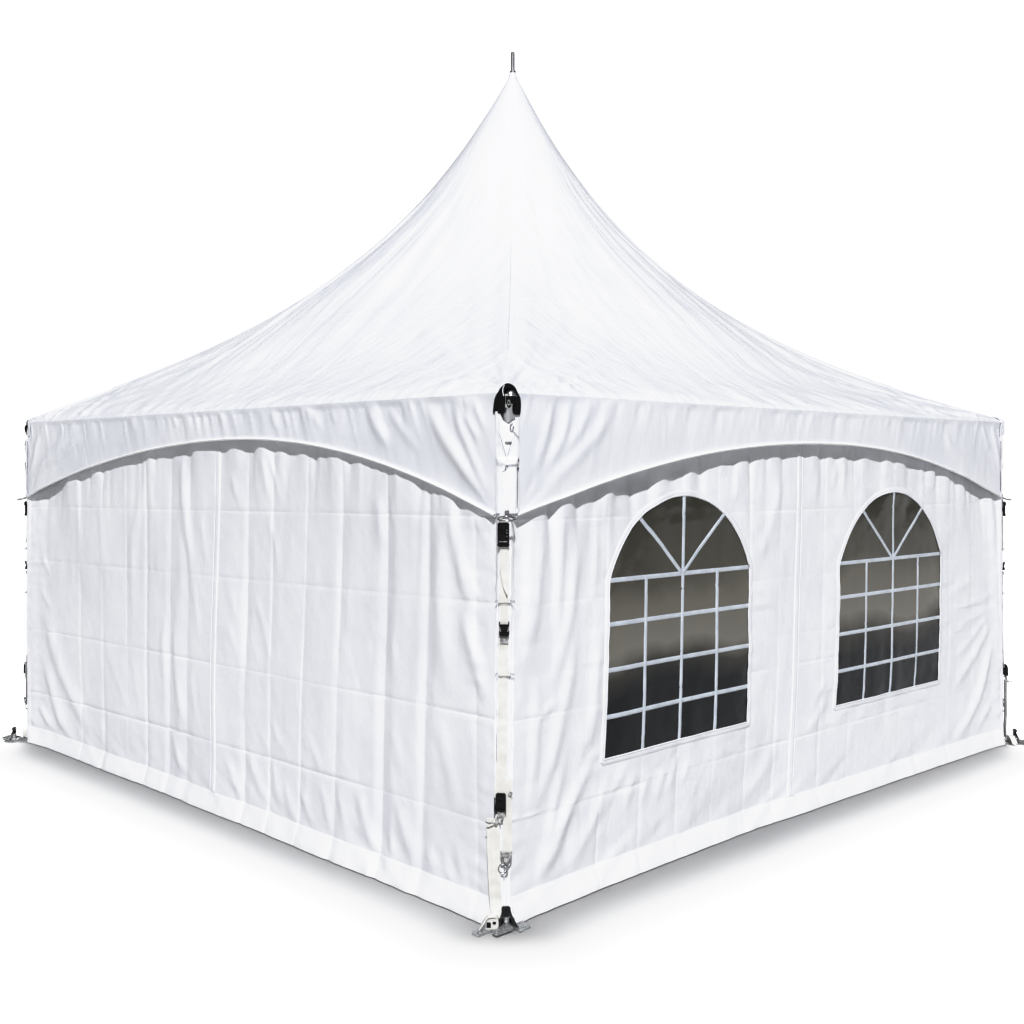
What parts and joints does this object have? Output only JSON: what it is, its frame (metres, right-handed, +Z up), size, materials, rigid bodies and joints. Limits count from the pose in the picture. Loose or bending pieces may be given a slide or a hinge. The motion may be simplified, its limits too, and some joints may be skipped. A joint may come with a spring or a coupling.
{
  "type": "marquee tent",
  "caption": "Square white frame marquee with a swept high-peak roof, arched valances, laced side walls and arched clear windows, on tube legs with ground plates and tie straps.",
  "frame": {"origin": "on the ground under the mast, at the middle of the outer box", "axes": "+Z up, -Y towards the front wall with two windows, -X towards the plain left wall"},
  "size_m": [4.83, 4.83, 4.56],
  "materials": {
    "roof_vinyl": "coated white vinyl cloth with a soft sheen, lightly creased",
    "wall_vinyl": "white vinyl wall cloth with packing creases",
    "window_vinyl": "clear flexible window vinyl, slightly wavy",
    "white_tube": "white powder coat",
    "bright_tube": "bright anodised tube",
    "black_rubber": "matt black",
    "foot_steel": "galvanised plate with a black painted foot",
    "webbing": "off-white polyester webbing",
    "wire_rope": "galvanised wire rope"
  },
  "bodies": {
    "root": {"roof_front": "roof_vinyl", "roof_left": "roof_vinyl", "roof_back": "roof_vinyl", "roof_right": "roof_vinyl", "valance_front": "roof_vinyl", "valance_left": "roof_vinyl", "valance_back": "roof_vinyl", "valance_right": "roof_vinyl", "wall_front_left": "wall_vinyl", "wall_front_right": "wall_vinyl", "wall_left_back": "wall_vinyl", "wall_left_front": "wall_vinyl", "wall_back_right": "wall_vinyl", "wall_back_left": "wall_vinyl", "wall_right_front": "wall_vinyl", "wall_right_back": "wall_vinyl", "window_front_left": "window_vinyl", "window_front_right": "window_vinyl", "window_back_right": "window_vinyl", "window_back_left": "window_vinyl", "leg_front_left": "white_tube", "leg_back_left": "white_tube", "leg_back_right": "white_tube", "leg_front_right": "white_tube", "eave_beam_front": "bright_tube", "eave_beam_left": "bright_tube", "eave_beam_back": "bright_tube", "eave_beam_right": "bright_tube", "corner_boot_front_left": "black_rubber", "corner_boot_back_left": "black_rubber", "corner_boot_back_right": "black_rubber", "corner_boot_front_right": "black_rubber", "base_foot_front_left": "foot_steel", "base_foot_back_left": "foot_steel", "base_foot_back_right": "foot_steel", "base_foot_front_right": "foot_steel", "tie_strap_front_left": "webbing", "tie_strap_back_left": "webbing", "tie_strap_back_right": "webbing", "tie_strap_front_right": "webbing", "mast": "bright_tube", "mast_foot": "foot_steel", "cross_cable_a": "wire_rope", "cross_cable_b": "wire_rope", "spire": "white_tube"}
  },
  "joints": []
}
